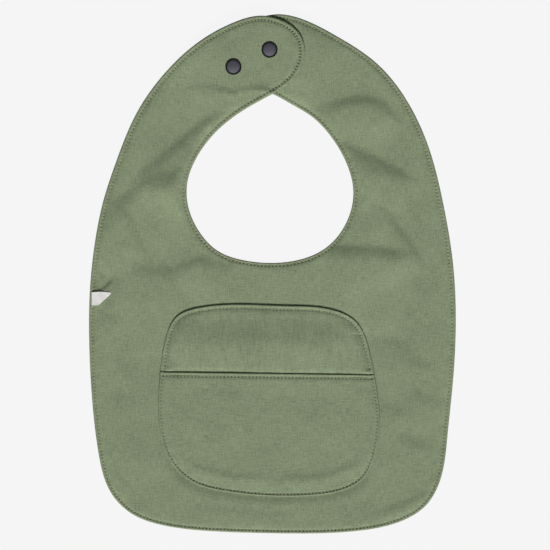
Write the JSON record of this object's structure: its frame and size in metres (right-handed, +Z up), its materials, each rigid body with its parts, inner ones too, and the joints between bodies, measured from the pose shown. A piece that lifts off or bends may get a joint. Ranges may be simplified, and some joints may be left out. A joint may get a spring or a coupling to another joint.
{
  "type": "baby bib",
  "caption": "Woven cotton baby bib with a rounded neck opening, overlapping straps closed by press studs, and a sewn front pocket.",
  "frame": {"origin": "on the table, under the middle of the bib's outline, with the bib lying on its back", "axes": "+X to the right seen from the front, +Y towards the neck straps, +Z up out of the front cloth"},
  "size_m": [0.2605, 0.3686, 0.0084],
  "materials": {
    "outer_cloth": "matt plain weave",
    "lining_cloth": "matt plain weave",
    "interlining": "soft needled cotton",
    "thread": "twisted polyester thread",
    "stud_metal": "satin gunmetal",
    "label_ribbon": "satin woven ribbon"
  },
  "bodies": {
    "bib_body": {"back_panel": "lining_cloth", "interlining": "interlining", "front_panel": "outer_cloth", "edge_stitch": "thread", "pocket_backing": "outer_cloth", "pocket_backing_stitch": "thread", "snap_stud_inner": "stud_metal", "snap_back_cap_inner": "stud_metal", "snap_stud_tip": "stud_metal", "snap_back_cap_tip": "stud_metal"},
    "strap": {"strap_back_cloth": "lining_cloth", "strap_interlining": "interlining", "strap_front_cloth": "outer_cloth", "strap_stitch": "thread"},
    "tab": {"tab_back_cloth": "lining_cloth", "tab_interlining": "interlining", "tab_front_cloth": "outer_cloth", "tab_stitch": "thread", "snap_cap_inner": "stud_metal", "snap_socket_inner": "stud_metal", "snap_cap_tip": "stud_metal", "snap_socket_tip": "stud_metal"},
    "pocket": {"pocket_front": "outer_cloth", "pocket_seam_stitch": "thread", "pocket_hem_stitch": "thread"},
    "label": {"size_label": "label_ribbon"}
  },
  "joints": [
    {"name": "strap_lift", "type": "hinge", "parent": "bib_body", "child": "strap", "pos_m": [-0.0863, 0.071, 0.00205], "axis": [0.9821, -0.1881, 0], "range_deg": [0, 70]},
    {"name": "tab_peel", "type": "hinge", "parent": "strap", "child": "tab", "pos_m": [-0.059, 0.121, 0.00205], "axis": [0.592, -0.806, 0], "range_deg": [0, 90]},
    {"name": "pocket_gape", "type": "hinge", "parent": "bib_body", "child": "pocket", "pos_m": [0, -0.158, 0.0024], "axis": [1, 0, 0], "range_deg": [0, 14]},
    {"name": "label_flip", "type": "hinge", "parent": "bib_body", "child": "label", "pos_m": [-0.1303, -0.0176, 0.00205], "axis": [0, -1, 0], "range_deg": [0, 165]}
  ]
}
